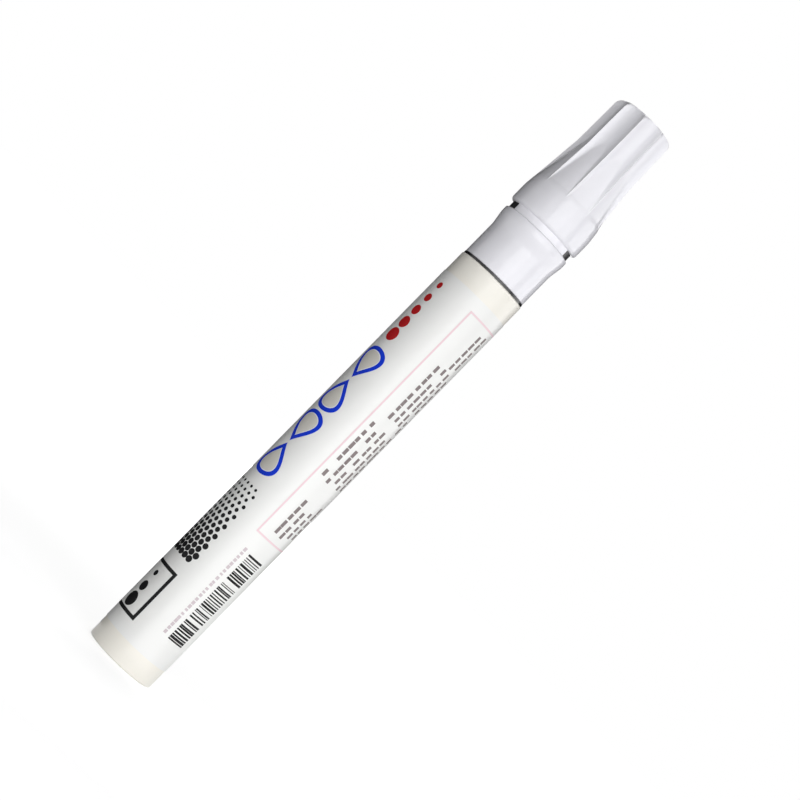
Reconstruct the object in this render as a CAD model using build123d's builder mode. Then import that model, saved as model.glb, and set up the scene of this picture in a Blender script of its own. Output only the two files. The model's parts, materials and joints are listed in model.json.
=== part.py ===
"""Paint marker with a spring-closed valve, standing on its tail with the cap on.

The marker's axis is Z and its tail rests on Z = 0. Lengths are in millimetres, angles in degrees.
The front of the marker, as it is usually seen, faces -Y.
"""

import os
from math import cos, pi, radians, sin, sqrt

from build123d import *

os.makedirs("parts", exist_ok=True)

# Clearances and cuts
press_clearance = 0.05
running_clearance = 0.06
cap_clearance = 0.10
overrun = 1.0

# Barrel: a drawn aluminium tube, closed at the tail
barrel_length = 98.3
barrel_diameter = 15.0
barrel_wall = 0.5
barrel_floor = 0.9
tail_edge_radius = 0.4
floor_corner_radius = 0.5
mouth_edge_radius = 0.18

# Label: a printed film round the barrel
label_thickness = 0.08
label_tail_margin = 4.4
label_mouth_margin = 4.7

# Mixing ball: a loose steel ball on the barrel's floor
ball_diameter = 6.0
ball_rest_gap = 0.05

# Front collar: a plug in the barrel's mouth, a thin flange on its rim and a neck for the cap
flange_thickness = 0.5
flange_setback = 0.15
plug_length = 9.0
plug_lead_in = 0.6
neck_diameter = 12.1
neck_height = 8.9
neck_lead_in = 0.5
snap_bead_height = 0.15
snap_bead_width = 1.2
snap_bead_position = 4.4
front_chamber_diameter = 8.5
valve_bore_diameter = 9.2
valve_bore_depth = 7.0
web_thickness = 1.8
web_hole_diameter = 5.2

# Collar seal: a rubber ring in a groove of the plug, level with the collar's web
seal_section_diameter = 1.3
seal_groove_clearance = 0.1

# Valve seat: a rubber ring under the collar's web
seat_thickness = 1.2
seat_hole_diameter = 3.8

# Valve cage: a windowed cup under the collar
cage_reach = 10.2
cage_wall = 0.9
cage_floor = 1.2
cage_flange_diameter = 11.2
cage_flange_thickness = 1.0
cage_window_count = 4
cage_window_width = 2.4
cage_window_sill = 2.0
cage_window_head = 1.2

# Valve stem: nib socket, rod, valve head and guide pin in one moulding
valve_travel = 1.5
stop_gap = 0.1
socket_diameter = 4.8
socket_height = 5.5
socket_depth = 4.0
socket_slot_width = 0.9
socket_slot_depth = 2.2
stem_rod_diameter = 2.6
valve_head_diameter = 6.2
valve_head_thickness = 1.4
guide_pin_diameter = 2.0
guide_pin_tail = 1.6
guide_pin_chamfer = 0.3

# Valve spring: round wire between the cage's floor and the valve head
spring_mean_diameter = 4.4
spring_wire_diameter = 0.5
spring_turns = 5
spring_seat_gap = 0.05

# Nose cone: a plug in the collar's neck, a shoulder for the inner cap and a taper round the nib
nose_stub_length = 4.0
nose_chamber_diameter = 6.0
nose_base_diameter = 10.4
nose_base_height = 7.3
nose_base_edge_radius = 0.4
nose_roof = 2.8
nose_taper_base_diameter = 7.8
nose_taper_end_diameter = 5.2
nose_taper_height = 8.2
nose_end_edge_radius = 0.35
nose_vent_count = 3
nose_vent_width = 0.7
nose_vent_depth = 0.5

# Nib: a pressed-fibre rod with a bullet point
nib_diameter = 3.0
nib_reach = 6.0
nib_point_height = 3.2
nib_point_diameter = 1.3
nib_point_radius = 0.65
nib_shoulder_radius = 3.0

# Cap: skirt, flare, bead, groove with two side windows, ring, shoulder, taper and grip, upwards from the rim
cap_length = 40.7
skirt_wall = 1.0
skirt_height = 7.3
skirt_blend_radius = 6.0
rim_edge_radius = 0.2
flare_height = 2.7
flare_step = 0.42
flare_blend_radius = 4.0
bead_height = 1.3
bead_edge_radius = 0.25
groove_chamfer = 0.15
groove_depth = 0.36
groove_height = 1.4
groove_corner_radius = 0.15
ring_step = 0.82
ring_underside_rise = 0.2
ring_edge_radius = 0.7
ring_height = 3.85
ring_blend_radius = 12.0
shoulder_height = 3.4
shoulder_drop = 0.40
shoulder_blend_radius = 20.0
taper_height = 9.2
taper_drop = 0.86
taper_blend_radius = 8.0
grip_drop = 0.18
cap_end_radius = 1.6
cap_end_wall = 1.6
cap_step = 0.7
window_width = 8.0

# Flutes: concave scallops between the ridges, over a core that tapers faster than the ridges do
flute_count = 9
flute_first_angle = -97
flute_lead = 2.6
flute_depth = 1.35
flute_wall = 1.0
core_start_depth = 0.1
core_height = 13.0
ridge_margin = 0.04

# Inner cap: a liner that seats on the nose's shoulder, held by two lugs in the cap's windows
liner_flange_thickness = 1.2
liner_sleeve_clearance = 0.25
liner_sleeve_wall = 0.8
liner_sleeve_lead = 0.4
liner_lug_setback = 0.05
liner_nose_clearance = 0.4
liner_end_bore_diameter = 6.6
liner_end_wall = 1.2
liner_end_gap = 1.9

# Radii that two pieces share
barrel_radius = barrel_diameter / 2
bore_radius = barrel_radius - barrel_wall
plug_radius = bore_radius - press_clearance
flange_radius = barrel_radius - flange_setback
neck_radius = neck_diameter / 2
valve_bore_radius = valve_bore_diameter / 2
front_chamber_radius = front_chamber_diameter / 2
cage_radius = valve_bore_radius - press_clearance
cage_bore_radius = cage_radius - cage_wall
guide_pin_radius = guide_pin_diameter / 2
nib_radius = nib_diameter / 2
socket_bore_radius = nib_radius + press_clearance
liner_sleeve_bore_radius = nose_base_diameter / 2 + liner_sleeve_clearance
skirt_bore_radius = max(
    neck_radius + snap_bead_height + cap_clearance,
    liner_sleeve_bore_radius + liner_sleeve_wall + press_clearance,
)
skirt_radius = skirt_bore_radius + skirt_wall
bead_radius = skirt_radius + flare_step
groove_radius = bead_radius - groove_depth
ring_radius = skirt_radius + ring_step
shoulder_radius = ring_radius - shoulder_drop
taper_radius = shoulder_radius - taper_drop
cap_end_outer_radius = taper_radius - grip_drop

# Heights above the tail
mouth_level = barrel_length
rim_level = mouth_level + flange_thickness
neck_top = rim_level + neck_height
nose_shoulder = neck_top + nose_base_height
nose_end = nose_shoulder + nose_taper_height
nib_end = nose_end + nib_reach
plug_bottom = mouth_level - plug_length
valve_ceiling = plug_bottom + valve_bore_depth
web_top = valve_ceiling + web_thickness
seat_bottom = valve_ceiling - seat_thickness
head_bottom = seat_bottom - valve_head_thickness
cage_bottom = plug_bottom - cage_reach
cage_floor_top = cage_bottom + cage_floor
cage_flange_bottom = plug_bottom - cage_flange_thickness
socket_bottom = web_top + valve_travel + stop_gap
socket_top = socket_bottom + socket_height
nib_tail = socket_top - socket_depth
nose_stub_bottom = neck_top - nose_stub_length
nose_chamber_top = nose_shoulder - nose_roof
skirt_top = rim_level + skirt_height
flare_top = skirt_top + flare_height
bead_top = flare_top + bead_height
groove_bottom = bead_top + groove_chamfer
groove_top = groove_bottom + groove_height
ring_bottom = groove_top + ring_underside_rise
ring_top = ring_bottom + ring_height
flute_start = ring_top + flute_lead
shoulder_top = ring_top + shoulder_height
taper_top = shoulder_top + taper_height
cap_end = rim_level + cap_length
cap_step_level = nose_shoulder + liner_flange_thickness
cap_cavity_top = cap_end - cap_end_wall
liner_end = cap_cavity_top - liner_end_gap
liner_bore_top = liner_end - liner_end_wall

# Barrel
with BuildPart() as barrel:
    with BuildSketch(Plane.XZ):
        with BuildLine():
            Polyline(
                (0, 0),
                (barrel_radius, 0),
                (barrel_radius, mouth_level),
                (bore_radius, mouth_level),
                (bore_radius, barrel_floor),
                (0, barrel_floor),
                close=True,
            )
        make_face()
    revolve(axis=Axis.Z)
    circles = barrel.edges().filter_by(GeomType.CIRCLE)
    tail_edge = circles.group_by(Axis.Z)[0]
    mouth_edge = circles.group_by(Axis.Z)[-1].sort_by(SortBy.RADIUS)[-1]
    floor_corner = circles.filter_by_position(Axis.Z, barrel_floor, barrel_floor)
    fillet(tail_edge, radius=tail_edge_radius)
    fillet(mouth_edge, radius=mouth_edge_radius)
    fillet(floor_corner, radius=floor_corner_radius)
barrel.part.label = "barrel"
export_step(barrel.part, "parts/barrel.step")

# Label film
with BuildPart() as label_film:
    with BuildSketch(Plane.XY.offset(label_tail_margin)):
        Circle(barrel_radius + label_thickness)
        Circle(barrel_radius, mode=Mode.SUBTRACT)
    extrude(amount=mouth_level - label_mouth_margin - label_tail_margin)
label_film.part.label = "label_film"
export_step(label_film.part, "parts/label_film.step")

# Mixing ball
with BuildPart() as mixing_ball:
    with Locations((0, 0, barrel_floor + ball_rest_gap + ball_diameter / 2)):
        Sphere(ball_diameter / 2)
mixing_ball.part.label = "mixing_ball"
export_step(mixing_ball.part, "parts/mixing_ball.step")

# Front collar
seal_level = valve_ceiling + web_thickness / 2
seal_groove_half_width = seal_section_diameter / 2 + seal_groove_clearance
seal_groove_radius = bore_radius - press_clearance - seal_section_diameter - press_clearance
snap_level = rim_level + snap_bead_position
with BuildPart() as front_collar:
    with BuildSketch(Plane.XZ):
        with BuildLine():
            Polyline(
                (valve_bore_radius, plug_bottom),
                (plug_radius - plug_lead_in / 2, plug_bottom),
                (plug_radius, plug_bottom + plug_lead_in),
                (plug_radius, mouth_level),
                (flange_radius, mouth_level),
                (flange_radius, rim_level),
                (neck_radius, rim_level),
                (neck_radius, neck_top - neck_lead_in),
                (neck_radius - neck_lead_in, neck_top),
                (front_chamber_radius, neck_top),
                (front_chamber_radius, web_top),
                (web_hole_diameter / 2, web_top),
                (web_hole_diameter / 2, valve_ceiling),
                (valve_bore_radius, valve_ceiling),
                close=True,
            )
        make_face()
        with BuildLine():
            bead = ThreePointArc(
                (neck_radius, snap_level - snap_bead_width / 2),
                (neck_radius + snap_bead_height, snap_level),
                (neck_radius, snap_level + snap_bead_width / 2),
            )
            Line(bead @ 1, bead @ 0)
        make_face()
        with Locations((seal_groove_radius + overrun, seal_level)):
            Rectangle(2 * overrun, 2 * seal_groove_half_width, mode=Mode.SUBTRACT)
    revolve(axis=Axis.Z)
front_collar.part.label = "front_collar"
export_step(front_collar.part, "parts/front_collar.step")

# Collar seal
seal_centre_radius = seal_groove_radius + press_clearance + seal_section_diameter / 2
with BuildPart() as collar_seal:
    with BuildSketch(Plane.XZ):
        with Locations((seal_centre_radius, seal_level)):
            Circle(seal_section_diameter / 2)
    revolve(axis=Axis.Z)
collar_seal.part.label = "collar_seal"
export_step(collar_seal.part, "parts/collar_seal.step")

# Valve seat
with BuildPart() as valve_seat:
    with BuildSketch(Plane.XY.offset(seat_bottom)):
        Circle(valve_bore_radius - press_clearance)
        Circle(seat_hole_diameter / 2, mode=Mode.SUBTRACT)
    extrude(amount=seat_thickness)
valve_seat.part.label = "valve_seat"
export_step(valve_seat.part, "parts/valve_seat.step")

# Valve cage
cage_window_bottom = cage_floor_top + cage_window_sill
cage_window_top = cage_flange_bottom - cage_window_head
with BuildPart() as valve_cage:
    with BuildSketch(Plane.XZ):
        with BuildLine():
            Polyline(
                (guide_pin_radius + running_clearance, cage_bottom),
                (cage_radius, cage_bottom),
                (cage_radius, cage_flange_bottom),
                (cage_flange_diameter / 2, cage_flange_bottom),
                (cage_flange_diameter / 2, plug_bottom),
                (cage_radius, plug_bottom),
                (cage_radius, seat_bottom),
                (cage_bore_radius, seat_bottom),
                (cage_bore_radius, cage_floor_top),
                (guide_pin_radius + running_clearance, cage_floor_top),
                close=True,
            )
        make_face()
    revolve(axis=Axis.Z)
    with BuildSketch(Plane.XY.offset(cage_window_bottom)):
        with PolarLocations(cage_radius, cage_window_count):
            Rectangle(2 * cage_wall + overrun, cage_window_width)
    extrude(amount=cage_window_top - cage_window_bottom, mode=Mode.SUBTRACT)
valve_cage.part.label = "valve_cage"
export_step(valve_cage.part, "parts/valve_cage.step")

# Valve stem
with BuildPart() as valve_stem:
    with BuildSketch(Plane.XZ):
        with BuildLine():
            Polyline(
                (0, cage_bottom - guide_pin_tail),
                (guide_pin_radius - guide_pin_chamfer, cage_bottom - guide_pin_tail),
                (guide_pin_radius, cage_bottom - guide_pin_tail + guide_pin_chamfer),
                (guide_pin_radius, head_bottom),
                (valve_head_diameter / 2, head_bottom),
                (valve_head_diameter / 2, seat_bottom),
                (stem_rod_diameter / 2, seat_bottom),
                (stem_rod_diameter / 2, socket_bottom),
                (socket_diameter / 2, socket_bottom),
                (socket_diameter / 2, socket_top),
                (socket_bore_radius, socket_top),
                (socket_bore_radius, nib_tail),
                (0, nib_tail),
                close=True,
            )
        make_face()
    revolve(axis=Axis.Z)
    with BuildSketch(Plane.XY.offset(socket_top)):
        Rectangle(socket_diameter + overrun, socket_slot_width)
        Rectangle(socket_slot_width, socket_diameter + overrun)
    extrude(amount=-socket_slot_depth, mode=Mode.SUBTRACT)
valve_stem.part.label = "valve_stem"
export_step(valve_stem.part, "parts/valve_stem.step")

# Valve spring: each half turn of the helix is a pair of tangent arcs
spring_radius = spring_mean_diameter / 2
spring_bottom = cage_floor_top + spring_wire_diameter / 2 + spring_seat_gap
spring_top = head_bottom - spring_wire_diameter / 2 - spring_seat_gap
spring_pitch = (spring_top - spring_bottom) / spring_turns


def spring_point(half_turns):
    """A point on the wire's centre line, counted in half turns from its lower end."""
    angle = pi * half_turns
    height = spring_bottom + spring_pitch * half_turns / 2
    return Vector(spring_radius * cos(angle), spring_radius * sin(angle), height)


def spring_direction(half_turns):
    """The wire's direction at that point."""
    angle = pi * half_turns
    rise = spring_pitch / (2 * pi)
    return Vector(-spring_radius * sin(angle), spring_radius * cos(angle), rise).normalized()


with BuildPart() as valve_spring:
    with BuildLine() as spring_path:
        for step in range(2 * spring_turns):
            start, start_way = spring_point(step), spring_direction(step)
            finish, finish_way = spring_point(step + 1), spring_direction(step + 1)
            across = finish - start
            ways = start_way + finish_way
            spread = 2 * (1 - start_way.dot(finish_way))
            reach = (sqrt(across.dot(ways) ** 2 + spread * across.dot(across)) - across.dot(ways)) / spread
            middle = (start + finish + (start_way - finish_way) * reach) / 2
            first_arc = TangentArc(start, middle, tangent=start_way)
            TangentArc(middle, finish, tangent=first_arc % 1)
    with BuildSketch(Plane(origin=spring_point(0), z_dir=spring_direction(0))):
        Circle(spring_wire_diameter / 2)
    sweep()
print(f"valve spring: {spring_turns} turns, {spring_pitch - spring_wire_diameter:.2f} mm between turns")
valve_spring.part.label = "valve_spring"
export_step(valve_spring.part, "parts/valve_spring.step")

# Nose cone
with BuildPart() as nose_cone:
    with BuildSketch(Plane.XZ):
        with BuildLine():
            Polyline(
                (nose_chamber_diameter / 2, nose_stub_bottom),
                (front_chamber_radius - press_clearance, nose_stub_bottom),
                (front_chamber_radius - press_clearance, neck_top),
                (nose_base_diameter / 2, neck_top),
                (nose_base_diameter / 2, nose_shoulder),
                (nose_taper_base_diameter / 2, nose_shoulder),
                (nose_taper_end_diameter / 2, nose_end),
                (nib_radius + running_clearance, nose_end),
                (nib_radius + running_clearance, nose_chamber_top),
                (nose_chamber_diameter / 2, nose_chamber_top),
                close=True,
            )
        make_face()
    revolve(axis=Axis.Z)
    with BuildSketch(Plane.XY.offset(nose_chamber_top)):
        with PolarLocations(nib_radius, nose_vent_count):
            Rectangle(2 * nose_vent_depth, nose_vent_width)
    extrude(amount=nose_end - nose_chamber_top, mode=Mode.SUBTRACT)
    circles = nose_cone.edges().filter_by(GeomType.CIRCLE)
    end_edge = circles.group_by(Axis.Z)[-1].sort_by(SortBy.RADIUS)[-1]
    base_edge = circles.filter_by_position(Axis.Z, nose_shoulder, nose_shoulder).sort_by(SortBy.RADIUS)[-1]
    fillet(end_edge, radius=nose_end_edge_radius)
    fillet(base_edge, radius=nose_base_edge_radius)
nose_cone.part.label = "nose_cone"
export_step(nose_cone.part, "parts/nose_cone.step")

# Nib
nib_point_start = nib_end - nib_point_height
with BuildPart() as nib:
    with BuildSketch(Plane.XZ):
        with BuildLine():
            FilletPolyline(
                (nib_radius, nib_tail),
                (nib_radius, nib_point_start),
                (nib_point_diameter / 2, nib_end),
                (0, nib_end),
                radius=[nib_shoulder_radius, nib_point_radius],
            )
            Polyline((0, nib_end), (0, nib_tail), (nib_radius, nib_tail))
        make_face()
    revolve(axis=Axis.Z)
nib.part.label = "nib"
export_step(nib.part, "parts/nib.step")

# Inner cap
cap_cavity_base_radius = skirt_bore_radius - cap_step
cap_cavity_end_radius = cap_end_outer_radius - flute_depth - flute_wall
cap_cavity_taper = (cap_cavity_base_radius - cap_cavity_end_radius) / (cap_cavity_top - cap_step_level)
liner_base_radius = cap_cavity_base_radius - press_clearance
liner_end_radius = liner_base_radius - cap_cavity_taper * (liner_end - cap_step_level)
liner_bore_radius = nose_taper_base_diameter / 2 + liner_nose_clearance
liner_sleeve_radius = skirt_bore_radius - press_clearance
liner_lug_root_radius = (liner_sleeve_bore_radius + liner_sleeve_radius) / 2
liner_lug_radius = groove_radius - liner_lug_setback
with BuildPart() as inner_cap:
    with BuildSketch(Plane.XZ):
        with BuildLine():
            Polyline(
                (liner_bore_radius, nose_shoulder),
                (liner_sleeve_bore_radius, nose_shoulder),
                (liner_sleeve_bore_radius, groove_bottom - liner_sleeve_lead),
                (liner_sleeve_radius, groove_bottom - liner_sleeve_lead),
                (liner_sleeve_radius, cap_step_level),
                (liner_base_radius, cap_step_level),
                (liner_end_radius, liner_end),
                (0, liner_end),
                (0, liner_bore_top),
                (liner_end_bore_diameter / 2, liner_bore_top),
                close=True,
            )
        make_face()
    revolve(axis=Axis.Z)
    with BuildSketch(Plane.XY.offset(groove_bottom + press_clearance)):
        Circle(liner_lug_radius)
        Rectangle(2 * liner_lug_radius, window_width - 2 * press_clearance, mode=Mode.INTERSECT)
        Circle(liner_lug_root_radius, mode=Mode.SUBTRACT)
    extrude(amount=groove_height - 2 * press_clearance)
inner_cap.part.label = "inner_cap"
export_step(inner_cap.part, "parts/inner_cap.step")

# Fluted form of the cap: plain up to the flutes, then scallops and a conical core that shows between them
flute_step = 360 / flute_count
shoulder_slope = shoulder_drop / shoulder_height
flute_start_radius = ring_radius - shoulder_slope * flute_lead
flute_sections = (
    (flute_start, flute_start_radius),
    (taper_top, taper_radius),
    (cap_end, cap_end_outer_radius),
)


def polar_point(radius, angle):
    """A point of a horizontal sketch at that radius and angle."""
    return (radius * cos(radians(angle)), radius * sin(radians(angle)))


with BuildPart() as fluted_form:
    for level, ridge_radius in flute_sections:
        with BuildSketch(Plane.XY.offset(level)):
            with BuildLine():
                for flute in range(flute_count):
                    ridge_angle = flute_first_angle + flute * flute_step
                    ThreePointArc(
                        polar_point(ridge_radius + ridge_margin, ridge_angle),
                        polar_point(ridge_radius - flute_depth, ridge_angle + flute_step / 2),
                        polar_point(ridge_radius + ridge_margin, ridge_angle + flute_step),
                    )
            make_face()
    loft(ruled=True)
    with BuildSketch(Plane.XZ):
        with BuildLine():
            Polyline(
                (0, flute_start),
                (flute_start_radius - core_start_depth, flute_start),
                (cap_end_outer_radius - flute_depth, flute_start + core_height),
                (0, flute_start + core_height),
                close=True,
            )
        make_face()
    revolve(axis=Axis.Z)
    with BuildSketch(Plane.XY.offset(rim_level)):
        Circle(ring_radius + overrun)
    extrude(amount=flute_start - rim_level)

# Cap shell
with BuildPart() as cap_shell:
    with BuildSketch(Plane.XZ):
        with BuildLine():
            FilletPolyline(
                (0, rim_level),
                (skirt_radius, rim_level),
                (skirt_radius, skirt_top),
                (bead_radius, flare_top),
                (bead_radius, bead_top),
                (groove_radius, groove_bottom),
                (groove_radius, groove_top),
                (ring_radius, ring_bottom),
                (ring_radius, ring_top),
                (shoulder_radius, shoulder_top),
                (taper_radius, taper_top),
                (cap_end_outer_radius, cap_end),
                (0, cap_end),
                radius=[
                    rim_edge_radius,
                    skirt_blend_radius,
                    flare_blend_radius,
                    bead_edge_radius,
                    groove_corner_radius,
                    groove_corner_radius,
                    ring_edge_radius,
                    ring_blend_radius,
                    shoulder_blend_radius,
                    taper_blend_radius,
                    cap_end_radius,
                ],
            )
            Line((0, cap_end), (0, rim_level))
        make_face()
    revolve(axis=Axis.Z)
    add(fluted_form.part, mode=Mode.INTERSECT)
    with BuildSketch(Plane.XZ):
        with BuildLine():
            Polyline(
                (0, rim_level - overrun),
                (skirt_bore_radius, rim_level - overrun),
                (skirt_bore_radius, cap_step_level),
                (cap_cavity_base_radius, cap_step_level),
                (cap_cavity_end_radius, cap_cavity_top),
                (0, cap_cavity_top),
                close=True,
            )
        make_face()
    revolve(axis=Axis.Z, mode=Mode.SUBTRACT)
    with BuildSketch(Plane.XY.offset(groove_bottom)):
        Rectangle(2 * ring_radius, window_width)
    extrude(amount=groove_height, mode=Mode.SUBTRACT)
cap_shell.part.label = "cap_shell"
export_step(cap_shell.part, "parts/cap_shell.step")
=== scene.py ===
# %% [markdown]
# A paint marker is a drawn aluminium tube with a plastic front end and a fluted cap. Its solids are
# already built to size and come in as a fixed frame. This lesson dresses them: it sets the camera and the
# light, gives each piece a finish, and adds what the solids leave out, the softened edges of the cap and
# the printing on the label. Lengths are in metres, or in millimetres times MM.

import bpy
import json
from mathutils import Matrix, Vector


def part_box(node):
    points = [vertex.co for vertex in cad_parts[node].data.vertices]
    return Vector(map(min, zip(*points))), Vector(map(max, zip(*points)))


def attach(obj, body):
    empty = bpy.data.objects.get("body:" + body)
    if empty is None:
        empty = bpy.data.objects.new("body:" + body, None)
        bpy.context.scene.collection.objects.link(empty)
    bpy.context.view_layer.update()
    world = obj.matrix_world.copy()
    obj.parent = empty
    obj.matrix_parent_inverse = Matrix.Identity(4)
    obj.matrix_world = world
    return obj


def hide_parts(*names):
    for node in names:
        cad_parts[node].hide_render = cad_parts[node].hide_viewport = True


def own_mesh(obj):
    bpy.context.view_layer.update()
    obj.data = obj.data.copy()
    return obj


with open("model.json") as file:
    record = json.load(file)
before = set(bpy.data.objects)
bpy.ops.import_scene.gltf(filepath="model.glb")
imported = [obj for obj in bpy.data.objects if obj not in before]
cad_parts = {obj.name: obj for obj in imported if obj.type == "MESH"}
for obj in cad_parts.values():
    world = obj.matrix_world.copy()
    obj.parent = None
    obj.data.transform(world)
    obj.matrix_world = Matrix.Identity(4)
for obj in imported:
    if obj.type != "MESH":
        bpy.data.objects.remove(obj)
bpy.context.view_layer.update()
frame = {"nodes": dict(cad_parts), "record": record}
print("solids:", sorted(frame["nodes"]))

# %% [markdown]
# The marker stands on its tail, with its axis on Z, and leans in the picture because the camera is
# rolled. A Track To constraint can't hold a roll, so the camera's three axes are worked out here and put
# together as a matrix. The lens is long, about 110 mm, because the edges of the barrel are almost
# parallel in the picture.

# %% Camera
import math

import bpy
from mathutils import Matrix, Vector

scene = bpy.context.scene
MM = 0.001
camera_place = Vector((3.42, -450.0, 58.0)) * MM
camera_aim = Vector((3.42, 0.0, 70.46)) * MM
camera_roll = math.radians(44.41)

towards_camera = (camera_place - camera_aim).normalized()
upright = (Vector((0, 0, 1)) - towards_camera * towards_camera.z).normalized()
sideways = upright.cross(towards_camera)
picture_right = sideways * math.cos(camera_roll) + upright * math.sin(camera_roll)
picture_up = upright * math.cos(camera_roll) - sideways * math.sin(camera_roll)

camera_data = bpy.data.cameras.new("camera")
camera_data.lens = 109.3
camera_data.clip_start = 0.01
camera_data.clip_end = 20.0
camera = bpy.data.objects.new("camera", camera_data)
turn = Matrix((picture_right, picture_up, towards_camera)).transposed()
camera.matrix_world = Matrix.Translation(camera_place) @ turn.to_4x4()
scene.collection.objects.link(camera)
scene.camera = camera
scene.view_settings.view_transform = "Standard"
print("camera distance:", round((camera_place - camera_aim).length, 4), "m")

# %% [markdown]
# Light, finishes and shapes are all made with node trees. Adding a node takes the same few steps each
# time, so one helper does it: it makes the node, sets its options, and feeds its inputs with plain values
# or with another node's output. An option can switch sockets off, so only enabled ones count. The other
# helpers add the nodes that are needed most.

# %% Node helpers
def put(tree, kind, inputs=(), **options):
    """Adds a node. Inputs are given by name or number, as values or as outputs of other nodes."""
    made = tree.nodes.new(kind)
    for option, choice in options.items():
        setattr(made, option, choice)
    for key, value in dict(inputs).items():
        socket = next(s for n, s in enumerate(made.inputs) if s.enabled and key in (n, s.name))
        if isinstance(value, bpy.types.NodeSocket):
            tree.links.new(value, socket)
        else:
            socket.default_value = value
    return made


def flow(tree, kind, inputs=(), **options):
    """Adds a node and gives its first enabled output."""
    return next(s for s in put(tree, kind, inputs, **options).outputs if s.enabled)


def reckon(tree, operation, *values):
    """Adds a Math node and gives its result."""
    return flow(tree, "ShaderNodeMath", dict(enumerate(values)), operation=operation)


def mapped(tree, value, ends=(0.0, 1.0), onto=(0.0, 1.0), ease="LINEAR"):
    """Adds a Map Range node, which carries a value from one pair of ends onto another."""
    names = ("Value", "From Min", "From Max", "To Min", "To Max")
    inputs = zip(names, (value, *ends, *onto))
    return flow(tree, "ShaderNodeMapRange", inputs, interpolation_type=ease)


def joined(tree, x=0.0, y=0.0, z=0.0):
    """Adds a Combine XYZ node and gives its vector."""
    return flow(tree, "ShaderNodeCombineXYZ", {0: x, 1: y, 2: z})


def split(tree, vector):
    """Adds a Separate XYZ node and gives the vector's three numbers."""
    return put(tree, "ShaderNodeSeparateXYZ", {0: vector}).outputs


print("node helpers ready")

# %% [markdown]
# The picture has a pure white background. More light would bleach the marker, so the white is only shown
# to camera, glossy and see-through rays. Other rays meet a dimmer world, which fills the shadows softly.

# %% World
fill_strength = 0.10


def looked_at(tree):
    """1 for rays from the camera, from a reflection or through something clear, and 0 for other rays."""
    ray = put(tree, "ShaderNodeLightPath").outputs
    either = reckon(tree, "MAXIMUM", ray["Is Camera Ray"], ray["Is Glossy Ray"])
    return reckon(tree, "MAXIMUM", either, ray["Is Transmission Ray"])


world = bpy.data.worlds.new("white_studio")
scene.world = world
world.use_nodes = True
world_tree = world.node_tree
world_tree.nodes.clear()
world_strength = mapped(world_tree, looked_at(world_tree), onto=(fill_strength, 1.0))
sky = flow(world_tree, "ShaderNodeBackground", {"Color": (1, 1, 1, 1), "Strength": world_strength})
put(world_tree, "ShaderNodeOutputWorld", {"Surface": sky})
print("world fill:", fill_strength)

# %% [markdown]
# The floor works the same way: it is pale and matt, with a glow that lifts it to white for the same rays.
# Far off, where the lamps hardly reach, the glow has to be strong. Close to the marker it is weaker, so
# the marker's soft shadow still shows there.

# %% Floor
floor_half = 4.0
floor_tone = 0.80
near_glow, far_glow = 0.60, 0.93
near_reach, far_reach = 0.06, 0.40


def empty_material(name):
    """A new material with nothing in its tree yet."""
    material = bpy.data.materials.new(name)
    material.use_nodes = True
    material.node_tree.nodes.clear()
    return material, material.node_tree


def new_piece(name, points=(), faces=()):
    """A new object with a mesh of these points and faces."""
    mesh = bpy.data.meshes.new(name)
    mesh.from_pydata(points, [], faces)
    piece = bpy.data.objects.new(name, mesh)
    scene.collection.objects.link(piece)
    return piece


floor_finish, floor_tree = empty_material("pale_floor")
floor_spot = put(floor_tree, "ShaderNodeTexCoord").outputs["Object"]
from_marker = flow(floor_tree, "ShaderNodeVectorMath", {0: floor_spot}, operation="LENGTH")
glow_share = mapped(floor_tree, from_marker, ends=(near_reach, far_reach), onto=(near_glow, far_glow))
floor_lift = reckon(floor_tree, "MULTIPLY", looked_at(floor_tree), glow_share)
matt = flow(floor_tree, "ShaderNodeBsdfDiffuse", {"Color": (floor_tone, floor_tone, floor_tone, 1)})
glow = flow(floor_tree, "ShaderNodeEmission", {"Color": (1, 1, 1, 1), "Strength": floor_lift})
both = flow(floor_tree, "ShaderNodeAddShader", {0: matt, 1: glow})
put(floor_tree, "ShaderNodeOutputMaterial", {"Surface": both})

corner_signs = ((-1, -1), (1, -1), (1, 1), (-1, 1))
corners = [(x * floor_half, y * floor_half, 0.0) for x, y in corner_signs]
floor = new_piece("floor", corners, [(0, 1, 2, 3)])
floor.data.materials.append(floor_finish)
print("floor:", 2 * floor_half, "m square")

# %% [markdown]
# The light comes from the right: a wide softbox starts just beside the camera and two more follow it
# round the side, so the right half of the barrel is evenly bright and a highlight begins near the middle.
# A weak panel left of the camera keeps the left half readable, a small low one lights the tail, and two
# behind the marker light its back.

# %% Softboxes
light_aim = Vector((0, 0, 0.075))


def around_marker(azimuth, height, distance):
    """A place round the marker. Azimuth 0 is the camera's side and 90 the marker's right."""
    angle = math.radians(azimuth)
    return Vector((math.sin(angle) * distance, -math.cos(angle) * distance, height))


def softbox(name, azimuth, power, width, tall=0.60, height=0.30, distance=1.20, mirrored=True):
    """A lamp that faces the marker, out of the camera's sight and, if asked, of reflections."""
    lamp = bpy.data.lights.new(name, "AREA")
    lamp.shape = "RECTANGLE"
    lamp.size = width
    lamp.size_y = tall
    lamp.energy = power
    holder = bpy.data.objects.new(name, lamp)
    place = around_marker(azimuth, height, distance)
    facing_marker = (light_aim - place).to_track_quat("-Z", "Y").to_matrix().to_4x4()
    holder.matrix_world = Matrix.Translation(place) @ facing_marker
    holder.visible_camera = False
    holder.visible_glossy = mirrored
    scene.collection.objects.link(holder)


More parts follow.
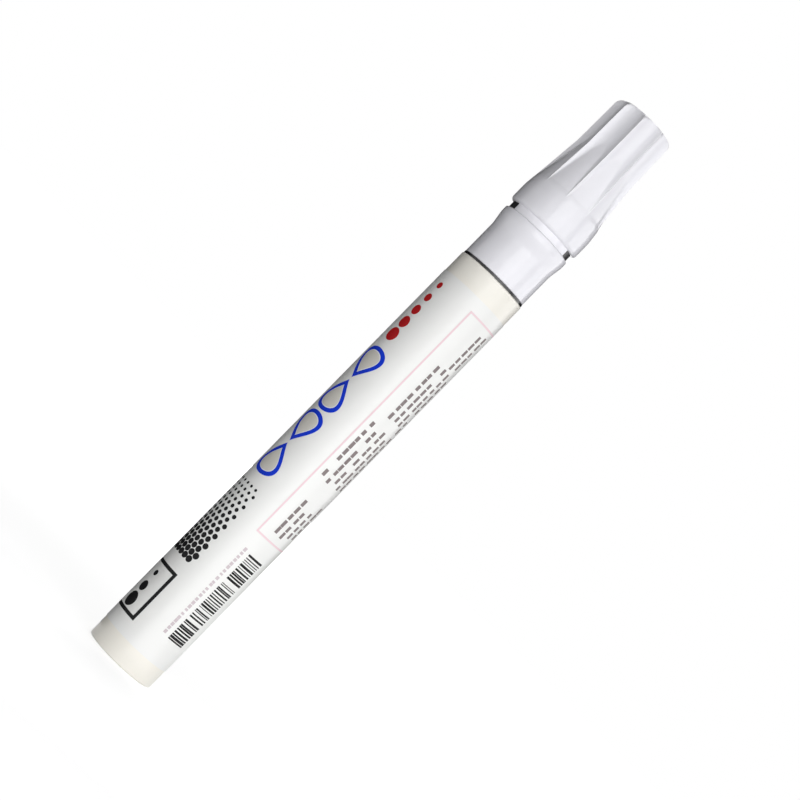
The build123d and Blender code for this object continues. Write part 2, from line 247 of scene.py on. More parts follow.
softbox("key_front", azimuth=12, power=4.75, width=0.82)
softbox("key_right", azimuth=46, power=2.7, width=0.72)
softbox("side_right", azimuth=105, power=3.1, width=1.00)
softbox("front_fill", azimuth=-22, power=1.15, width=0.60)
softbox("back_high", azimuth=180, power=1.2, width=0.60, tall=0.30, height=0.75, distance=0.50)
softbox("back_wide", azimuth=178, power=5.4, width=0.70, mirrored=False)
softbox(
    "low_front", azimuth=15, power=0.045, width=0.16, tall=0.05, height=0.035, distance=0.12, mirrored=False
)

# %% [markdown]
# A photographer shapes reflections with cards, and here they are bent round the marker where only
# reflections see them. The black ones, behind both sides and on the floor at the left, draw the thin dark
# lines along the edges. The white ones carry the front softboxes on upwards and down to the floor, so
# that the sloping panels of the cap and the tail shine as the rest does.

# %% Cards
def card(name, first, last, near=0.30, far=0.30, low=0.0, high=0.32, glow=0.0, cells=12):
    """A card bent round the marker, its lower edge at the near distance, its upper one at the far."""
    finish, tree = empty_material(name)
    shine = flow(tree, "ShaderNodeEmission", {"Strength": glow})
    put(tree, "ShaderNodeOutputMaterial", {"Surface": shine})
    points = []
    for k in range(cells + 1):
        azimuth = first + (last - first) * k / cells
        points += [around_marker(azimuth, low, near), around_marker(azimuth, high, far)]
    holder = new_piece(name, points, [(2 * k, 2 * k + 1, 2 * k + 3, 2 * k + 2) for k in range(cells)])
    holder.data.materials.append(finish)
    holder.visible_camera = holder.visible_diffuse = holder.visible_shadow = False
    print(name + ": from", first, "to", last, "degrees")


card("black_card_left", first=-175, last=-104)
card("black_card_right", first=126, last=172)
card("black_card_below", first=-175, last=-84, near=0.010, low=0.002, high=0.004)
card("white_card_above", first=-9, last=64, near=1.20, far=1.20, low=0.60, high=1.20, glow=3.4)
card("white_card_below", first=-9, last=64, near=0.010, far=0.16, low=0.002, high=0.004, glow=3.0)

# %% [markdown]
# Real surfaces are never one flat colour. Moulded plastic has a soft cloudiness and a fine texture from
# its mould, drawn metal keeps faint lines along its length, and whatever is handled gets duller smudges.
# Several finishes share these effects, so each is a node group that puts out masks and heights.

# %% Shared surface effects
def effect_group(name, inputs, outputs):
    """An empty shader node group with named inputs and outputs."""
    group = bpy.data.node_groups.new(name, "ShaderNodeTree")
    for side, labels in (("INPUT", inputs), ("OUTPUT", outputs)):
        for label in labels:
            group.interface.new_socket(label, in_out=side, socket_type="NodeSocketFloat")
    return group, put(group, "NodeGroupInput").outputs, put(group, "NodeGroupOutput").inputs


def noise(tree, scale, detail, place=None):
    """Smooth noise from 0 to 1, over the object's own coordinates unless another place is given."""
    if place is None:
        place = put(tree, "ShaderNodeTexCoord").outputs["Object"]
    return flow(tree, "ShaderNodeTexNoise", {"Vector": place, "Scale": scale, "Detail": detail})


grain, given, out = effect_group("mould_grain", ("Fine", "Broad"), ("Grain", "Cloud"))
grain.links.new(noise(grain, given["Fine"], detail=3.0), out["Grain"])
grain.links.new(noise(grain, given["Broad"], detail=5.0), out["Cloud"])

lines, given, out = effect_group("drawn_lines", ("Fineness", "Length"), ("Lines",))
any_place = put(lines, "ShaderNodeTexCoord").outputs["Object"]
squeeze = joined(lines, 1.0, 1.0, given["Length"])
line_place = flow(lines, "ShaderNodeVectorMath", {0: any_place, 1: squeeze}, operation="MULTIPLY")
lines.links.new(noise(lines, given["Fineness"], detail=4.0, place=line_place), out["Lines"])

smudge_from, smudge_full = 0.52, 0.70
smudges, given, out = effect_group("handling_marks", ("Size", "Amount"), ("Marks",))
patches = noise(smudges, given["Size"], detail=6.0)
patches = mapped(smudges, patches, ends=(smudge_from, smudge_full), ease="SMOOTHSTEP")
smudges.links.new(reckon(smudges, "MULTIPLY", patches, given["Amount"]), out["Marks"])
print("effects:", [group.name for group in bpy.data.node_groups])

# %% [markdown]
# Every finish ends in the same way: a colour, a roughness and a relief go into one Principled shader, and
# the smudges make the surface a little rougher.

# %% What all finishes share
smudge_dulling = 0.5


def use_group(tree, group, **values):
    """Places a shared effect in a material and gives its outputs."""
    return put(tree, "ShaderNodeGroup", values, node_tree=group).outputs


def tone(tree, share, first, second):
    """A colour that runs from the first to the second as the share goes from 0 to 1."""
    return flow(tree, "ShaderNodeMix", {"Factor": share, "A": first, "B": second}, data_type="RGBA")


def new_finish(name, metallic, sheen=0.5):
    """A new material, with its tree and its shader."""
    finish = bpy.data.materials.new(name)
    finish.use_nodes = True
    shader = finish.node_tree.nodes["Principled BSDF"]
    shader.inputs["Metallic"].default_value = metallic
    shader.inputs["Specular IOR Level"].default_value = sheen
    return finish, finish.node_tree, shader


def feed_shader(tree, shader, colour, dullness, marks, height, lift):
    """Joins a colour, a roughness with smudges, and a relief of so many millimetres to the shader."""
    smudged = reckon(tree, "ADD", dullness, reckon(tree, "MULTIPLY", marks, smudge_dulling))
    bump = put(tree, "ShaderNodeBump", {"Height": height, "Distance": lift * MM, "Strength": 1.0})
    tree.links.new(colour, shader.inputs["Base Color"])
    tree.links.new(smudged, shader.inputs["Roughness"])
    tree.links.new(bump.outputs["Normal"], shader.inputs["Normal"])


print("finish helpers ready")

# %% [markdown]
# Moulded plastic, rubber, film and ink follow one recipe: two close tones are mixed by the cloud, the
# gloss is broken up by the grain, and the grain lifts the surface a few thousandths of a millimetre. One
# function writes it, and each finish brings its own tones, gloss and sizes.

# %% Moulded and coated finishes
def coated(
    name, first, second, gloss, fine=2500.0, broad=120.0, lift=0.004, marks=0.15, metallic=0.0, sheen=0.5
):
    """A finish of two close tones. Gloss is the roughness from its smooth to its dull places."""
    finish, tree, shader = new_finish(name, metallic, sheen)
    texture = use_group(tree, grain, Fine=fine, Broad=broad)
    worn = use_group(tree, smudges, Size=broad / 2, Amount=marks)["Marks"]
    colour = tone(tree, texture["Cloud"], (*first, 1), (*second, 1))
    dullness = mapped(tree, texture["Grain"], onto=gloss)
    feed_shader(tree, shader, colour, dullness, worn, texture["Grain"], lift)
    return finish


finishes = {
    "collar_plastic": coated("collar_black", (0.010, 0.010, 0.011), (0.018, 0.018, 0.020), (0.16, 0.30)),
    "seal_rubber": coated(
        "seal_black", (0.020, 0.020, 0.020), (0.040, 0.039, 0.038), (0.60, 0.85), lift=0.02
    ),
    "valve_plastic": coated("valve_natural", (0.74, 0.74, 0.71), (0.82, 0.82, 0.80), (0.38, 0.52)),
    "nose_plastic": coated("nose_white", (0.80, 0.80, 0.79), (0.87, 0.87, 0.86), (0.30, 0.44), lift=0.006),
    "liner_plastic": coated("liner_black", (0.012, 0.012, 0.013), (0.020, 0.020, 0.022), (0.28, 0.42)),
    "ball_steel": coated(
        "ball_steel", (0.58, 0.58, 0.60), (0.66, 0.66, 0.67), (0.08, 0.18), metallic=1.0, marks=0.2
    ),
}
print("finishes so far:", sorted(finishes))

# %% [markdown]
# Three finishes have marks that run along the marker. The barrel is lacquered over drawn metal, so faint
# lines show under the lacquer. The spring is drawn wire, with the same lines and no lacquer. The nib is
# pressed fibre: its fibres colour it, dull it and give it relief, so one stretched noise drives all
# three.

# %% Lacquer, wire and fibre
def streaked(name, first, second, gloss, fineness, length, lift, metallic=0.0, peel=0.0):
    """A finish whose marks run along the marker's axis, with a little orange peel if it is lacquered."""
    finish, tree, shader = new_finish(name, metallic)
    streaks = use_group(tree, lines, Fineness=fineness, Length=length)["Lines"]
    texture = use_group(tree, grain, Fine=1400.0, Broad=90.0)
    worn = use_group(tree, smudges, Size=45.0, Amount=0.12)["Marks"]
    half_cloud = reckon(tree, "MULTIPLY", texture["Cloud"], 0.5)
    mixed = reckon(tree, "MULTIPLY_ADD", streaks, 0.5, half_cloud)
    height = reckon(tree, "MULTIPLY_ADD", texture["Grain"], peel, streaks)
    colour = tone(tree, mixed, (*first, 1), (*second, 1))
    feed_shader(tree, shader, colour, mapped(tree, mixed, onto=gloss), worn, height, lift)
    return finish


finishes["barrel"] = streaked(
    "barrel_lacquer", (0.88, 0.855, 0.785), (0.92, 0.895, 0.83), (0.24, 0.36),
    fineness=1300.0, length=0.02, lift=0.003, peel=1.5,
)
finishes["spring_steel"] = streaked(
    "spring_wire", (0.56, 0.56, 0.58), (0.68, 0.68, 0.70), (0.18, 0.32),
    fineness=4000.0, length=0.3, lift=0.004, metallic=1.0,
)
finishes["nib_fibre"] = streaked(
    "nib_fibre", (0.74, 0.73, 0.69), (0.88, 0.87, 0.84), (0.75, 0.95),
    fineness=6000.0, length=0.05, lift=0.05, peel=0.8,
)
print("finishes so far:", sorted(finishes))

# %% [markdown]
# The label is a clear-coated white film. It lies on the tube with a slight waviness that bends highlights
# without changing the outline, so its relief is much broader than a mould's grain. The cap is a cool
# white plastic with the highest gloss on the marker. Its nine ridges carry a mask of their own, stored on
# the mesh when the flutes are made. It turns them a little smoother, and lighter as a painted highlight
# along each ridge.

# %% Label film and cap plastic
finishes["label"] = coated(
    "label_film", (0.86, 0.865, 0.85), (0.89, 0.89, 0.878), (0.26, 0.36), fine=260.0, broad=60.0, lift=0.006
)
finishes["cap_plastic"] = coated(
    "cap_cool_white", (0.84, 0.836, 0.885), (0.88, 0.876, 0.925), (0.10, 0.19),
    fine=1800.0, broad=140.0, lift=0.003,
)

# The ridge tone is a painted highlight: the mask makes each ridge lighter than the rest of the cap.
ridge_highlight_tone = (0.91, 0.906, 0.94, 1)
ridge_highlight_share = 0.6
ridge_polish = -0.05
cap_tree = finishes["cap_plastic"].node_tree
cap_inputs = cap_tree.nodes["Principled BSDF"].inputs
ridge_mask = put(cap_tree, "ShaderNodeAttribute", attribute_name="ridge").outputs["Fac"]
plain_tone = cap_inputs["Base Color"].links[0].from_socket
painted_ridge_highlight = tone(cap_tree, reckon(cap_tree, "MULTIPLY", ridge_mask, ridge_highlight_share), plain_tone, ridge_highlight_tone)
plain_dullness = cap_inputs["Roughness"].links[0].from_socket
smoother = reckon(cap_tree, "MULTIPLY_ADD", ridge_mask, ridge_polish, plain_dullness)
cap_tree.links.new(painted_ridge_highlight, cap_inputs["Base Color"])
cap_tree.links.new(smoother, cap_inputs["Roughness"])
print("finishes:", sorted(finishes))

# %% [markdown]
# The record of the frame says which material slot each solid has, and the finishes go by the same names.

# %% Give each solid its finish
for subpart in frame["record"]["subparts"]:
    solid = frame["nodes"][subpart["node"]]
    solid.material_slots[0].material = finishes[subpart["material_slot"]]

# %% [markdown]
# The cap is a turned form with nine flutes pressed into it. Cutting flutes with Boolean cylinders would
# leave knife edges, and moulded plastic has none. So the plain form is turned first, as an outline spun
# round the axis, and a geometry tree then presses the flutes in by a rule. A Bevel modifier could round
# the outline's corners, but with one width for all, so a helper puts an arc of its own size into each
# corner.

# %% Helpers for turned forms
def rounded(corners, steps=6):
    """A path in millimetres through (radius, height, rounding) corners, with arcs at the rounded ones."""
    path = []
    for number, (across, height, rounding) in enumerate(corners):
        corner = Vector((across, height))
        if not rounding:
            path.append(corner)
            continue
        back = (Vector(corners[number - 1][:2]) - corner).normalized()
        ahead = (Vector(corners[number + 1][:2]) - corner).normalized()
        half_angle = back.angle(ahead) / 2
        centre = corner + (back + ahead).normalized() * rounding / math.sin(half_angle)
        first = corner + back * rounding / math.tan(half_angle) - centre
        last = corner + ahead * rounding / math.tan(half_angle) - centre
        first, last = first.normalized(), last.normalized()
        path += [centre + first.slerp(last, step / steps) * rounding for step in range(steps + 1)]
    return path


def turned(name, path, angles):
    """A closed piece, spun from a path in millimetres that starts and ends on the axis."""
    points, faces = [], []
    count = len(angles)
    for spot in path[1:-1]:
        points += [(spot.x * math.cos(a) * MM, spot.x * math.sin(a) * MM, spot.y * MM) for a in angles]
    for row in range(len(path) - 3):
        for k in range(count):
            here, ahead = row * count + k, row * count + (k + 1) % count
            faces.append((here, here + count, ahead + count, ahead))
    first_pole, last_pole = len(points), len(points) + 1
    points += [(0, 0, path[0].y * MM), (0, 0, path[-1].y * MM)]
    last_row = (len(path) - 3) * count
    for k in range(count):
        faces.append((first_pole, k, (k + 1) % count))
        faces.append((last_pole, last_row + (k + 1) % count, last_row + k))
    return new_piece(name, points, faces)


print("turning helpers ready")

# %% [markdown]
# The outline runs from the small gate mark in the middle of the end, down the outside, round the rim and
# up the inside to the end wall. From the rim up it has a skirt that flares into a bead, a groove, a ring,
# and a shoulder that tapers into the grip. The rim, the end and the widest place come from the solid.

# %% Outline of the cap
cap_low, cap_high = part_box("cap_shell")
rim, cap_end, ring_radius = (round(x / MM, 3) for x in (cap_low[2], cap_high[2], cap_high[0]))
skirt_top = rim + 7.3
flare_top = skirt_top + 2.7
bead_top = flare_top + 1.3
groove_low = bead_top + 0.15
groove_high = groove_low + 1.4
ring_low = groove_high + 0.2
ring_high = ring_low + 3.85
shoulder_top = ring_high + 3.4
taper_top = cap_end - 11.2
bore_top = rim + 17.4
end_wall = cap_end - 1.6
gate_floor = cap_end - 0.12

end_radius, taper_radius, shoulder_radius = 6.68, 6.86, 7.72
bead_radius, groove_radius, skirt_radius = 7.72, 7.36, 7.3
bore_radius, liner_radius, liner_end_radius = 6.3, 5.6, 4.33
gate_radius, gate_edge_radius = 0.9, 1.05

outside = [
    (0.0, gate_floor, 0), (gate_radius, gate_floor, 0.08), (gate_edge_radius, cap_end, 0.08),
    (end_radius, cap_end, 1.6), (taper_radius, taper_top, 8.0), (shoulder_radius, shoulder_top, 20.0),
    (ring_radius, ring_high, 12.0), (ring_radius, ring_low, 0.7), (groove_radius, groove_high, 0.15),
    (groove_radius, groove_low, 0.15), (bead_radius, bead_top, 0.25), (bead_radius, flare_top, 4.0),
    (skirt_radius, skirt_top, 6.0), (skirt_radius, rim, 0.2),
]
inside = [
    (bore_radius, rim, 0.15), (bore_radius, bore_top, 0), (liner_radius, bore_top, 0),
    (liner_end_radius, end_wall, 0.4), (0.0, end_wall, 0),
]
print("cap:", round(cap_end - rim, 2), "mm long,", 2 * ring_radius, "mm across its ring")

# %% [markdown]
# Flutes can only be pressed into a mesh that has points to move. The grip therefore gets a row of points
# every 0.4 mm, and the points in a row crowd towards the ridges, where the form bends most.

# %% Turn the plain cap
row_pitch = 0.4
rows_from_height = 117.0
rows_from_radius = 6.0
cap_path = []
for spot in rounded(outside + inside):
    if cap_path and cap_path[-1].y > rows_from_height and spot.x > rows_from_radius:
        start = cap_path[-1]
        pieces = math.ceil((spot - start).length / row_pitch)
        cap_path += [start.lerp(spot, step / pieces) for step in range(1, pieces)]
    cap_path.append(spot)

flutes = 9
first_ridge = math.radians(-97)
flute_turn = 2 * math.pi / flutes
steps_in_flute = 24
cap_angles = []
for flute in range(flutes):
    for step in range(steps_in_flute):
        crowd = math.sin(math.pi * (step / steps_in_flute - 0.5))
        cap_angles.append(first_ridge + flute_turn * (flute + 0.5 + 0.5 * crowd))
fluted_cap = turned("fluted_cap", cap_path, cap_angles)
print("plain cap:", len(cap_path), "rings of", len(cap_angles), "points")

# %% [markdown]
# A geometry tree starts with named inputs, so that its sizes can be changed without opening it. When a
# tree has run on a piece, the result is kept as a plain mesh. The values go in by each socket's
# identifier, because that is what the modifier stores.

# %% Geometry tree helpers
SOCKET_KINDS = {int: "NodeSocketInt", float: "NodeSocketFloat", Vector: "NodeSocketVector"}


def shape_tree(name, **inputs):
    """An empty geometry tree with these named inputs and a material."""
    tree = bpy.data.node_groups.new(name, "GeometryNodeTree")
    tree.interface.new_socket("Geometry", in_out="INPUT", socket_type="NodeSocketGeometry")
    for label, value in inputs.items():
        kind = SOCKET_KINDS[type(value)]
        tree.interface.new_socket(label, in_out="INPUT", socket_type=kind).default_value = value
    tree.interface.new_socket("Material", in_out="INPUT", socket_type="NodeSocketMaterial")
    tree.interface.new_socket("Geometry", in_out="OUTPUT", socket_type="NodeSocketGeometry")
    return tree, put(tree, "NodeGroupInput").outputs, put(tree, "NodeGroupOutput").inputs


def end_tree(tree, shape, given, out):
    """Closes a tree: instances become real and the material is set."""
    real = flow(tree, "GeometryNodeRealizeInstances", {"Geometry": shape})
    dressed = flow(tree, "GeometryNodeSetMaterial", {"Geometry": real, "Material": given["Material"]})
    tree.links.new(dressed, out["Geometry"])


def run_tree(piece, tree, **values):
    """Runs a tree on a piece and keeps the result as the piece's own mesh."""
    modifier = piece.modifiers.new(tree.name, "NODES")
    modifier.node_group = tree
    for item in tree.interface.items_tree:
        if item.item_type == "SOCKET" and item.in_out == "INPUT" and item.name in values:
            modifier[item.identifier] = values[item.name]
    graph = bpy.context.evaluated_depsgraph_get()
    shaped = piece.evaluated_get(graph)
    made = bpy.data.meshes.new_from_object(shaped, preserve_all_data_layers=True, depsgraph=graph)
    piece.modifiers.clear()
    piece.data = made
    made.name = piece.name


def copies(tree, points, shape, **inputs):
    """Puts a copy of a shape on each point, turned or scaled if asked, and makes the copies real."""
    placed = flow(tree, "GeometryNodeInstanceOnPoints", {"Points": points, "Instance": shape, **inputs})
    return flow(tree, "GeometryNodeRealizeInstances", {"Geometry": placed})


def smooth_by_angle(piece, degrees=48):
    """Shades a piece smooth, apart from edges sharper than this angle."""
    piece.data.shade_smooth()
    piece.data.set_sharp_from_angle(angle=math.radians(degrees))


print("geometry helpers ready")

# %% [markdown]
# The flute tree starts with its sizes. In it, each point of the plain cap finds its distance from the
# axis and its angle from the middle of the flute that it lies in.

# %% Where a point of the cap lies
flute_sizes = {
    "Flutes": flutes, "First": first_ridge,
    "Start": 118.0 * MM, "Bend": taper_top * MM, "CoreTop": 131.3 * MM, "End": cap_end * MM,
    "RidgeStart": 7.89 * MM, "RidgeBend": 6.90 * MM, "RidgeEnd": 6.72 * MM, "Depth": 1.35 * MM,
    "CoreStart": 7.77 * MM, "CoreEnd": 5.33 * MM, "Soft": 0.16 * MM, "Lead": 1.2 * MM,
    "Windows": 2, "WindowSize": Vector((3.2, 8.0, groove_high - groove_low)) * MM,
    "WindowRadius": 6.2 * MM, "WindowHeight": (groove_low + groove_high) / 2 * MM,
}
flute_tree, given, out = shape_tree("press_flutes", **flute_sizes)
t = flute_tree


def squared(tree, value):
    """A value times itself."""
    return reckon(tree, "MULTIPLY", value, value)


point_x, point_y, point_height = split(t, flow(t, "GeometryNodeInputPosition"))
plain_radius = reckon(t, "SQRT", reckon(t, "ADD", squared(t, point_x), squared(t, point_y)))
flute_half = reckon(t, "DIVIDE", math.pi, given["Flutes"])
from_first = reckon(t, "SUBTRACT", reckon(t, "ARCTAN2", point_y, point_x), given["First"])
from_middle = reckon(t, "SUBTRACT", from_first, flute_half)
from_middle = reckon(t, "WRAP", from_middle, flute_half, reckon(t, "MULTIPLY", flute_half, -1.0))
print("flute tree inputs:", len(flute_sizes))

# %% [markdown]
# Between two ridges the cap is hollowed in two ways at once. A conical core tapers faster than the ridges
# do, so it lies just under them at the lower end and deep between them further up. The flanks of the
# ridges are concave, part of a circle through two ridges of radius R and the flute's floor of radius f.
# Its centre lies outside the cap at c = (R*R - f*f) / (2 * (R * cos(half) - f)), and a point at the angle
# a from the middle of the flute comes to c * cos(a) - sqrt((c - f)**2 - (c * sin(a))**2). The larger of
# the two radii counts, so a flute starts as a flat panel between short flanks and ends where the flanks
# meet.

# %% The hollow between two ridges
def along(low, high, first, last, ease="LINEAR"):
    """A value that runs from first to last between two heights of the cap."""
    return mapped(flute_tree, point_height, (low, high), (first, last), ease)


lower_ridge = along(given["Start"], given["Bend"], given["RidgeStart"], given["RidgeBend"])
ridge_drop = reckon(t, "SUBTRACT", given["RidgeEnd"], given["RidgeBend"])
ridge = reckon(t, "ADD", lower_ridge, along(given["Bend"], given["End"], 0.0, ridge_drop))
flute_floor = reckon(t, "SUBTRACT", ridge, given["Depth"])

squares = reckon(t, "SUBTRACT", squared(t, ridge), squared(t, flute_floor))
ridge_reach = reckon(t, "MULTIPLY", ridge, reckon(t, "COSINE", flute_half))
chord = reckon(t, "SUBTRACT", ridge_reach, flute_floor)
centre = reckon(t, "DIVIDE", squares, reckon(t, "MULTIPLY", chord, 2.0))
circle = reckon(t, "SUBTRACT", centre, flute_floor)
off_middle = reckon(t, "MULTIPLY", centre, reckon(t, "SINE", from_middle))
under_root = reckon(t, "SUBTRACT", squared(t, circle), squared(t, off_middle))
root = reckon(t, "SQRT", reckon(t, "MAXIMUM", under_root, 0.0))
flank = reckon(t, "SUBTRACT", reckon(t, "MULTIPLY", centre, reckon(t, "COSINE", from_middle)), root)
core = along(given["Start"], given["CoreTop"], given["CoreStart"], given["CoreEnd"])
pressed = reckon(t, "SMOOTH_MAX", flank, core, given["Soft"])
print("nodes for the hollow:", len(t.nodes))

# %% [markdown]
# A point moves in only where the hollow lies under the plain form, and the change fades in over the first
# millimetre, so the flutes end softly at the shoulder. Smooth minimums and maximums keep the edges soft,
# as moulded ones are. The tree also stores how near a point is to a ridge, for the finish of the cap.

# %% Move the points and mark the ridges
ridge_edge = 0.84
smallest_radius = 1e-6
soft_radius = reckon(t, "SMOOTH_MIN", plain_radius, pressed, given["Soft"])
fade_end = reckon(t, "ADD", given["Start"], given["Lead"])
fade = along(given["Start"], fade_end, 0.0, 1.0, "SMOOTHSTEP")
moved_in = reckon(t, "SUBTRACT", soft_radius, plain_radius)
new_radius = reckon(t, "MULTIPLY_ADD", moved_in, fade, plain_radius)
shrink = reckon(t, "DIVIDE", new_radius, reckon(t, "MAXIMUM", plain_radius, smallest_radius))
new_x = reckon(t, "MULTIPLY", point_x, shrink)
new_y = reckon(t, "MULTIPLY", point_y, shrink)
new_spot = joined(t, new_x, new_y, point_height)

near_ridge = reckon(t, "DIVIDE", reckon(t, "ABSOLUTE", from_middle), flute_half)
on_ridge = mapped(t, near_ridge, ends=(ridge_edge, 1.0), ease="SMOOTHSTEP")
ridge_value = reckon(t, "MULTIPLY", on_ridge, fade)
ridge_mark = {"Geometry": given["Geometry"], "Name": "ridge", "Value": ridge_value}
marked = flow(t, "GeometryNodeStoreNamedAttribute", ridge_mark)
fluted = flow(t, "GeometryNodeSetPosition", {"Geometry": marked, "Position": new_spot})
print("nodes with the ridges:", len(t.nodes))

# %% [markdown]
# Two windows are cut into the groove at the sides, where the lugs of the black liner snap in. A block
# stands at each window, turned to face outward, and one Boolean takes both away. The result takes the
# place of the cap's solid.

# %% Cut the windows and make the cap
window_turn = reckon(t, "DIVIDE", 2 * math.pi, given["Windows"])
window_angle = reckon(t, "MULTIPLY", flow(t, "GeometryNodeInputIndex"), window_turn)
window_x = reckon(t, "MULTIPLY", given["WindowRadius"], reckon(t, "COSINE", window_angle))
window_y = reckon(t, "MULTIPLY", given["WindowRadius"], reckon(t, "SINE", window_angle))
window_spot = joined(t, window_x, window_y, given["WindowHeight"])
window_points = flow(t, "GeometryNodePoints", {"Count": given["Windows"], "Position": window_spot})
block = flow(t, "GeometryNodeMeshCube", {"Size": given["WindowSize"]})
blocks = copies(t, window_points, block, Rotation=joined(t, z=window_angle))
cut = {"Mesh 1": fluted, "Mesh 2": blocks}
opened = flow(t, "GeometryNodeMeshBoolean", cut, operation="DIFFERENCE", solver="EXACT")
end_tree(t, opened, given, out)

run_tree(fluted_cap, flute_tree, **flute_sizes, Material=finishes["cap_plastic"])
smooth_by_angle(fluted_cap)
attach(fluted_cap, "cap")
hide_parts("cap_shell")
print("fluted cap:", len(fluted_cap.data.polygons), "faces")

# %% [markdown]
# The valve spring, hidden in the barrel, is wound from round steel wire. Pressing the nib in shortens it,
# and a solid of the frame can't change its shape, so the spring is made again here. A Screw modifier
# could wind it, but a tree with a spiral and a round section keeps its turns and its wire as named
# inputs.

# %% Wind the valve spring
points_in_turn = 32
points_round_wire = 12
wire = 0.5 * MM
spring_low, spring_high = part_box("valve_spring")
spring_length = spring_high[2] - spring_low[2]
spring_sizes = {
    "Turns": 5.0, "Radius": spring_high[0] - wire / 2, "WireRadius": wire / 2,
    "Low": spring_low[2] + wire / 2, "Rise": spring_length - wire,
}
spring_tree, given, out = shape_tree("wind_spring", **spring_sizes)
t = spring_tree
spiral_sizes = {
    "Resolution": points_in_turn, "Rotations": given["Turns"], "Height": given["Rise"],
    "Start Radius": given["Radius"], "End Radius": given["Radius"],
}
spiral = flow(t, "GeometryNodeCurveSpiral", spiral_sizes)
section_sizes = {"Resolution": points_round_wire, "Radius": given["WireRadius"]}
section = flow(t, "GeometryNodeCurvePrimitiveCircle", section_sizes)
wound = flow(t, "GeometryNodeCurveToMesh", {"Curve": spiral, "Profile Curve": section, "Fill Caps": True})
spring_place = joined(t, z=given["Low"])
seated = flow(t, "GeometryNodeTransform", {"Geometry": wound, "Translation": spring_place})
end_tree(t, seated, given, out)

spring_coil = new_piece("spring_coil")
run_tree(spring_coil, spring_tree, **spring_sizes, Material=finishes["spring_steel"])
smooth_by_angle(spring_coil)
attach(spring_coil, "marker_body")
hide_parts("valve_spring")
print("spring:", round(spring_length / MM, 2), "mm long")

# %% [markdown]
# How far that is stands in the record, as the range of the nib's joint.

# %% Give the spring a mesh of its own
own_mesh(spring_coil)

# %% [markdown]
# Ink on a barrel is easiest to draw flat. So each motif of the label is drawn on a sheet first, across
# the label on X and along the marker on Y, and one tree rolls the sheet round the barrel: a point x
# across the sheet goes to the angle x / radius. The tree also gives the ink a body, a few hundredths of a
# millimetre thick. A texture could do this too, but drawn shapes keep sharp edges at any distance.

# %% Tree that lays ink on the label
label_low, label_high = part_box("label_film")
label_radius = round(label_high[0] / MM, 3)
ink_sizes = {"Radius": label_radius * MM, "Lift": 0.004 * MM, "Ink": 0.016 * MM, "Cuts": 2}
ink_tree, given, out = shape_tree("lay_ink", **ink_sizes)
t = ink_tree
merge_reach = 1e-7
cut_up = flow(t, "GeometryNodeSubdivideMesh", {"Mesh": given["Geometry"], "Level": given["Cuts"]})
flat_x, flat_y = split(t, flow(t, "GeometryNodeInputPosition"))[:2]
roll_angle = reckon(t, "DIVIDE", flat_x, given["Radius"])
roll_radius = reckon(t, "ADD", given["Radius"], given["Lift"])
rolled_x = reckon(t, "MULTIPLY", roll_radius, reckon(t, "SINE", roll_angle))
away = reckon(t, "MULTIPLY", roll_radius, -1.0)
rolled_y = reckon(t, "MULTIPLY", away, reckon(t, "COSINE", roll_angle))
rolled_spot = joined(t, rolled_x, rolled_y, flat_y)
rolled = flow(t, "GeometryNodeSetPosition", {"Geometry": cut_up, "Position": rolled_spot})
thickness = {"Mesh": rolled, "Offset Scale": given["Ink"], "Individual": False}
raised = flow(t, "GeometryNodeExtrudeMesh", thickness)
underside = flow(t, "GeometryNodeFlipFaces", {"Mesh": rolled})
ink_body = put(t, "GeometryNodeJoinGeometry")
t.links.new(raised, ink_body.inputs[0])
t.links.new(underside, ink_body.inputs[0])
closed = flow(t, "GeometryNodeMergeByDistance", {"Geometry": ink_body.outputs[0], "Distance": merge_reach})
end_tree(t, closed, given, out)
print("ink lies on a radius of", label_radius, "mm")

# %% [markdown]
# Inks are coated finishes too, duller than the film, so that their dark tones stay dark. Every printed
# piece goes through the same steps: a flat drawing in millimetres, a tree, and a ride on the marker as
# part of its label.

# %% Inks and printing
ink_tones = {
    "blue": ((0.003, 0.034, 0.60), (0.005, 0.046, 0.70)),
    "stone": ((0.66, 0.64, 0.59), (0.74, 0.72, 0.67)),
    "red": ((0.42, 0.004, 0.006), (0.52, 0.006, 0.009)),
    "black": ((0.004, 0.004, 0.005), (0.010, 0.010, 0.011)),
    "pink": ((0.85, 0.64, 0.69), (0.88, 0.70, 0.74)),
    "grey": ((0.20, 0.165, 0.165), (0.28, 0.24, 0.24)),
    "mauve": ((0.60, 0.52, 0.56), (0.68, 0.60, 0.63)),
}
ink_gloss = (0.34, 0.46)
inks = {
    name: coated("ink_" + name, *tones, ink_gloss, broad=400.0, lift=0.001, sheen=0.15)
    for name, tones in ink_tones.items()
}


def end_in_ink(tree, flat, given, out, cuts):
    """Ends a tree with the ink tree. Wide motifs need more cuts to follow the barrel."""
    inputs = {"Geometry": flat, "Material": given["Material"], "Cuts": cuts}
    end_tree(tree, flow(tree, "GeometryNodeGroup", inputs, node_tree=ink_tree), given, out)


def printed(name, tree, drawing, **values):
    """Runs a tree on a flat drawing and lets the result ride on the marker."""
    points, faces = drawing
    piece = new_piece(name, [(x * MM, y * MM, 0.0) for x, y in points], faces)
    run_tree(piece, tree, **values)
    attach(piece, "marker_body")
    print(piece.name + ":", len(piece.data.polygons), "faces")


print("inks:", sorted(inks))

# %% [markdown]
# The design on the left of the label is a row of paint drops in blue outline with a stone-coloured core,
# turned up and down by turns. One drop is drawn as a closed curve, and its outline is the band between
# that curve and a smaller copy.

# %% Draw a drop
drop_steps = 48
drop_breadth, drop_half_length, drop_point = 4.5, 3.8, 1.4
drop_heart = Vector((0.0, -0.9))
drop_curve = []
for step in range(drop_steps):
    bend = 2 * math.pi * step / drop_steps
    across = drop_breadth * math.sin(bend) * abs(math.sin(bend / 2)) ** drop_point
    drop_curve.append(Vector((across, drop_half_length * math.cos(bend))))


